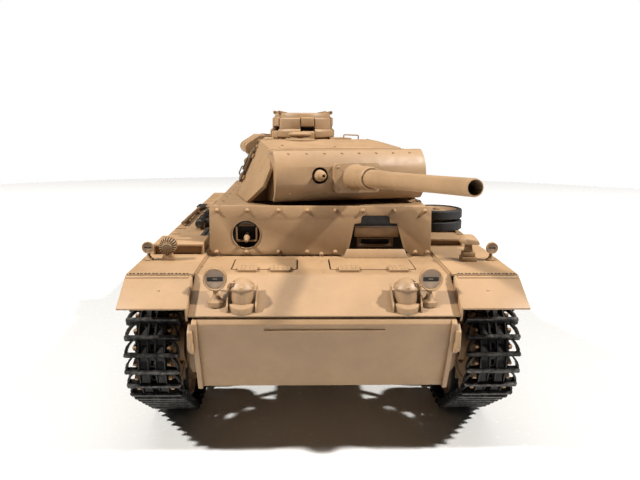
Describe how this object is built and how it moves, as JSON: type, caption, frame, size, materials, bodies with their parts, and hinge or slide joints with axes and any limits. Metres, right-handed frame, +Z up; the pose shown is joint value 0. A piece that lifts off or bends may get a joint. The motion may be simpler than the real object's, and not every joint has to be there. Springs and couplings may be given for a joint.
{
  "type": "radio-controlled model tank",
  "caption": "Radio-controlled scale model of a medium tank in sand paint, with metal tracks, a turning turret, an elevating gun and opening hatches.",
  "frame": {"origin": "on the ground, under the middle of the whole length and width with the gun at its rest angle", "axes": "-Y is the way the tank drives and the gun points, +X the tank's left side, +Z up"},
  "size_m": [0.1826, 0.3884, 0.162],
  "materials": {
    "sand_paint": "matte sand-yellow paint, lightly worn at the edges",
    "track_steel": "blackened cast links, worn grey on the raised bars",
    "wheel_rubber": "black rubber tyres on painted discs",
    "motor_metal": "plain metal cans and gearbox plates",
    "circuit_board": "green circuit board",
    "battery_wrap": "shrink-wrapped cells"
  },
  "bodies": {
    "hull": {"lower_hull": "sand_paint", "upper_hull": "sand_paint", "front_armour_plate": "sand_paint", "horn": "sand_paint", "convoy_light": "sand_paint", "exhaust_muffler": "sand_paint", "fender_left": "sand_paint", "fender_right": "sand_paint", "headlight_left": "sand_paint", "headlight_right": "sand_paint", "brake_vent_left": "sand_paint", "brake_vent_right": "sand_paint", "width_lamp_left": "sand_paint", "width_lamp_right": "sand_paint", "spare_wheels": "wheel_rubber", "track_left": "track_steel", "track_right": "track_steel", "drive_gearboxes": "motor_metal", "turret_motor": "motor_metal", "control_board": "circuit_board", "battery_pack": "battery_wrap"},
    "turret": {"turret_shell": "sand_paint", "cupola": "sand_paint", "stowage_bin": "sand_paint"},
    "gun": {"gun_shield": "sand_paint"},
    "barrel": {"gun_barrel": "sand_paint"},
    "hull_machine_gun": {"hull_machine_gun": "sand_paint"},
    "driver_visor": {"driver_visor": "sand_paint"},
    "glacis_hatch_left": {"glacis_hatch_left": "sand_paint"},
    "glacis_hatch_right": {"glacis_hatch_right": "sand_paint"},
    "front_flap_left": {"front_flap_left": "sand_paint"},
    "front_flap_right": {"front_flap_right": "sand_paint"},
    "engine_hatch_left": {"engine_hatch_left": "sand_paint"},
    "engine_hatch_right": {"engine_hatch_right": "sand_paint"},
    "sprocket_left": {"sprocket_left": "sand_paint"},
    "sprocket_right": {"sprocket_right": "sand_paint"},
    "idler_left": {"idler_left": "sand_paint"},
    "idler_right": {"idler_right": "sand_paint"},
    "cupola_hatch_left": {"cupola_hatch_left": "sand_paint"},
    "cupola_hatch_right": {"cupola_hatch_right": "sand_paint"},
    "side_hatch_left": {"side_hatch_left": "sand_paint"},
    "side_hatch_right": {"side_hatch_right": "sand_paint"},
    "road_wheel_left_1": {"road_wheel_left_1": "wheel_rubber"},
    "road_wheel_left_2": {"road_wheel_left_2": "wheel_rubber"},
    "road_wheel_left_3": {"road_wheel_left_3": "wheel_rubber"},
    "road_wheel_left_4": {"road_wheel_left_4": "wheel_rubber"},
    "road_wheel_left_5": {"road_wheel_left_5": "wheel_rubber"},
    "road_wheel_left_6": {"road_wheel_left_6": "wheel_rubber"},
    "return_roller_left_1": {"return_roller_left_1": "wheel_rubber"},
    "return_roller_left_2": {"return_roller_left_2": "wheel_rubber"},
    "return_roller_left_3": {"return_roller_left_3": "wheel_rubber"},
    "road_wheel_right_1": {"road_wheel_right_1": "wheel_rubber"},
    "road_wheel_right_2": {"road_wheel_right_2": "wheel_rubber"},
    "road_wheel_right_3": {"road_wheel_right_3": "wheel_rubber"},
    "road_wheel_right_4": {"road_wheel_right_4": "wheel_rubber"},
    "road_wheel_right_5": {"road_wheel_right_5": "wheel_rubber"},
    "road_wheel_right_6": {"road_wheel_right_6": "wheel_rubber"},
    "return_roller_right_1": {"return_roller_right_1": "wheel_rubber"},
    "return_roller_right_2": {"return_roller_right_2": "wheel_rubber"},
    "return_roller_right_3": {"return_roller_right_3": "wheel_rubber"}
  },
  "joints": [
    {"name": "turret_turn", "type": "hinge", "parent": "hull", "child": "turret", "pos_m": [0, 0.00289, 0.1195], "axis": [0, 0, 1], "range_deg": [-174.3, 145.7]},
    {"name": "gun_elevate", "type": "hinge", "parent": "turret", "child": "gun", "pos_m": [0.0109, -0.03974, 0.1256], "axis": [-0.9688, -0.2477, 0], "range_deg": [-7, 16]},
    {"name": "barrel_recoil", "type": "slide", "parent": "gun", "child": "barrel", "axis": [-0.2471, 0.9666, -0.0673], "range_m": [0, 0.01], "stiffness_N_per_m": 120},
    {"name": "visor_slide", "type": "slide", "parent": "hull", "child": "driver_visor", "axis": [0, 0, -1], "range_m": [0, 0.0022]},
    {"name": "hull_gun_traverse", "type": "hinge", "parent": "hull", "child": "hull_machine_gun", "pos_m": [-0.0396, -0.06731, 0.0981], "axis": [0, 0, 1], "range_deg": [-15, 15]},
    {"name": "glacis_hatch_left_open", "type": "hinge", "parent": "hull", "child": "glacis_hatch_left", "pos_m": [0.02485, -0.11091, 0.0884], "axis": [1, 0, 0], "range_deg": [0, 105]},
    {"name": "glacis_hatch_right_open", "type": "hinge", "parent": "hull", "child": "glacis_hatch_right", "pos_m": [-0.0285, -0.11091, 0.0884], "axis": [1, 0, 0], "range_deg": [0, 105]},
    {"name": "front_flap_left_lift", "type": "hinge", "parent": "hull", "child": "front_flap_left", "pos_m": [0.0785, -0.12561, 0.0879], "axis": [-1, 0, 0], "range_deg": [0, 150]},
    {"name": "front_flap_right_lift", "type": "hinge", "parent": "hull", "child": "front_flap_right", "pos_m": [-0.0785, -0.12561, 0.0879], "axis": [-1, 0, 0], "range_deg": [0, 150]},
    {"name": "engine_hatch_left_open", "type": "hinge", "parent": "hull", "child": "engine_hatch_left", "pos_m": [0.03, 0.11819, 0.1056], "axis": [0, 0.9997, -0.0256], "range_deg": [0, 90]},
    {"name": "engine_hatch_right_open", "type": "hinge", "parent": "hull", "child": "engine_hatch_right", "pos_m": [-0.03, 0.11819, 0.1056], "axis": [0, -0.9997, 0.0256], "range_deg": [0, 90]},
    {"name": "cupola_hatch_left_open", "type": "hinge", "parent": "turret", "child": "cupola_hatch_left", "pos_m": [0.0081, 0.0447, 0.16085], "axis": [-0.2477, 0.9688, 0], "range_deg": [0, 110]},
    {"name": "cupola_hatch_right_open", "type": "hinge", "parent": "turret", "child": "cupola_hatch_right", "pos_m": [-0.02717, 0.03569, 0.16085], "axis": [0.2477, -0.9688, 0], "range_deg": [0, 110]},
    {"name": "side_hatch_left_open", "type": "hinge", "parent": "turret", "child": "side_hatch_left", "pos_m": [0.05077, 0.00927, 0.1205], "axis": [0.4056, 0.1037, -0.9081], "range_deg": [0, 110]},
    {"name": "side_hatch_right_open", "type": "hinge", "parent": "turret", "child": "side_hatch_right", "pos_m": [-0.0476, -0.01588, 0.1205], "axis": [0.4056, 0.1037, 0.9081], "range_deg": [0, 110]},
    {"name": "sprocket_left_turn", "type": "hinge", "parent": "hull", "child": "sprocket_left", "pos_m": [0.0785, -0.11091, 0.05], "axis": [1, 0, 0], "continuous": true},
    {"name": "idler_left_turn", "type": "hinge", "parent": "hull", "child": "idler_left", "pos_m": [0.0785, 0.15619, 0.0465], "axis": [1, 0, 0], "continuous": true},
    {"name": "road_wheel_left_1_turn", "type": "hinge", "parent": "hull", "child": "road_wheel_left_1", "pos_m": [0.0785, -0.07681, 0.0211], "axis": [1, 0, 0], "continuous": true},
    {"name": "road_wheel_left_2_turn", "type": "hinge", "parent": "hull", "child": "road_wheel_left_2", "pos_m": [0.0785, -0.04106, 0.0211], "axis": [1, 0, 0], "continuous": true},
    {"name": "road_wheel_left_3_turn", "type": "hinge", "parent": "hull", "child": "road_wheel_left_3", "pos_m": [0.0785, -0.00531, 0.0211], "axis": [1, 0, 0], "continuous": true},
    {"name": "road_wheel_left_4_turn", "type": "hinge", "parent": "hull", "child": "road_wheel_left_4", "pos_m": [0.0785, 0.03044, 0.0211], "axis": [1, 0, 0], "continuous": true},
    {"name": "road_wheel_left_5_turn", "type": "hinge", "parent": "hull", "child": "road_wheel_left_5", "pos_m": [0.0785, 0.06619, 0.0211], "axis": [1, 0, 0], "continuous": true},
    {"name": "road_wheel_left_6_turn", "type": "hinge", "parent": "hull", "child": "road_wheel_left_6", "pos_m": [0.0785, 0.10194, 0.0211], "axis": [1, 0, 0], "continuous": true},
    {"name": "return_roller_left_1_turn", "type": "hinge", "parent": "hull", "child": "return_roller_left_1", "pos_m": [0.0785, -0.04781, 0.0635], "axis": [1, 0, 0], "continuous": true},
    {"name": "return_roller_left_2_turn", "type": "hinge", "parent": "hull", "child": "return_roller_left_2", "pos_m": [0.0785, 0.02219, 0.0635], "axis": [1, 0, 0], "continuous": true},
    {"name": "return_roller_left_3_turn", "type": "hinge", "parent": "hull", "child": "return_roller_left_3", "pos_m": [0.0785, 0.09219, 0.0635], "axis": [1, 0, 0], "continuous": true},
    {"name": "sprocket_right_turn", "type": "hinge", "parent": "hull", "child": "sprocket_right", "pos_m": [-0.0785, -0.11091, 0.05], "axis": [1, 0, 0], "continuous": true},
    {"name": "idler_right_turn", "type": "hinge", "parent": "hull", "child": "idler_right", "pos_m": [-0.0785, 0.15619, 0.0465], "axis": [1, 0, 0], "continuous": true},
    {"name": "road_wheel_right_1_turn", "type": "hinge", "parent": "hull", "child": "road_wheel_right_1", "pos_m": [-0.0785, -0.07681, 0.0211], "axis": [1, 0, 0], "continuous": true},
    {"name": "road_wheel_right_2_turn", "type": "hinge", "parent": "hull", "child": "road_wheel_right_2", "pos_m": [-0.0785, -0.04106, 0.0211], "axis": [1, 0, 0], "continuous": true},
    {"name": "road_wheel_right_3_turn", "type": "hinge", "parent": "hull", "child": "road_wheel_right_3", "pos_m": [-0.0785, -0.00531, 0.0211], "axis": [1, 0, 0], "continuous": true},
    {"name": "road_wheel_right_4_turn", "type": "hinge", "parent": "hull", "child": "road_wheel_right_4", "pos_m": [-0.0785, 0.03044, 0.0211], "axis": [1, 0, 0], "continuous": true},
    {"name": "road_wheel_right_5_turn", "type": "hinge", "parent": "hull", "child": "road_wheel_right_5", "pos_m": [-0.0785, 0.06619, 0.0211], "axis": [1, 0, 0], "continuous": true},
    {"name": "road_wheel_right_6_turn", "type": "hinge", "parent": "hull", "child": "road_wheel_right_6", "pos_m": [-0.0785, 0.10194, 0.0211], "axis": [1, 0, 0], "continuous": true},
    {"name": "return_roller_right_1_turn", "type": "hinge", "parent": "hull", "child": "return_roller_right_1", "pos_m": [-0.0785, -0.04781, 0.0635], "axis": [1, 0, 0], "continuous": true},
    {"name": "return_roller_right_2_turn", "type": "hinge", "parent": "hull", "child": "return_roller_right_2", "pos_m": [-0.0785, 0.02219, 0.0635], "axis": [1, 0, 0], "continuous": true},
    {"name": "return_roller_right_3_turn", "type": "hinge", "parent": "hull", "child": "return_roller_right_3", "pos_m": [-0.0785, 0.09219, 0.0635], "axis": [1, 0, 0], "continuous": true}
  ],
  "couplings": [
    {"joint": "idler_left_turn", "follows": "sprocket_left_turn", "ratio": 1.0377},
    {"joint": "road_wheel_left_1_turn", "follows": "sprocket_left_turn", "ratio": 1.3737},
    {"joint": "road_wheel_left_2_turn", "follows": "sprocket_left_turn", "ratio": 1.3737},
    {"joint": "road_wheel_left_3_turn", "follows": "sprocket_left_turn", "ratio": 1.3737},
    {"joint": "road_wheel_left_4_turn", "follows": "sprocket_left_turn", "ratio": 1.3737},
    {"joint": "road_wheel_left_5_turn", "follows": "sprocket_left_turn", "ratio": 1.3737},
    {"joint": "road_wheel_left_6_turn", "follows": "sprocket_left_turn", "ratio": 1.3737},
    {"joint": "return_roller_left_1_turn", "follows": "sprocket_left_turn", "ratio": 2.1992},
    {"joint": "return_roller_left_2_turn", "follows": "sprocket_left_turn", "ratio": 2.1992},
    {"joint": "return_roller_left_3_turn", "follows": "sprocket_left_turn", "ratio": 2.1992},
    {"joint": "idler_right_turn", "follows": "sprocket_right_turn", "ratio": 1.0377},
    {"joint": "road_wheel_right_1_turn", "follows": "sprocket_right_turn", "ratio": 1.3737},
    {"joint": "road_wheel_right_2_turn", "follows": "sprocket_right_turn", "ratio": 1.3737},
    {"joint": "road_wheel_right_3_turn", "follows": "sprocket_right_turn", "ratio": 1.3737},
    {"joint": "road_wheel_right_4_turn", "follows": "sprocket_right_turn", "ratio": 1.3737},
    {"joint": "road_wheel_right_5_turn", "follows": "sprocket_right_turn", "ratio": 1.3737},
    {"joint": "road_wheel_right_6_turn", "follows": "sprocket_right_turn", "ratio": 1.3737},
    {"joint": "return_roller_right_1_turn", "follows": "sprocket_right_turn", "ratio": 2.1992},
    {"joint": "return_roller_right_2_turn", "follows": "sprocket_right_turn", "ratio": 2.1992},
    {"joint": "return_roller_right_3_turn", "follows": "sprocket_right_turn", "ratio": 2.1992}
  ]
}
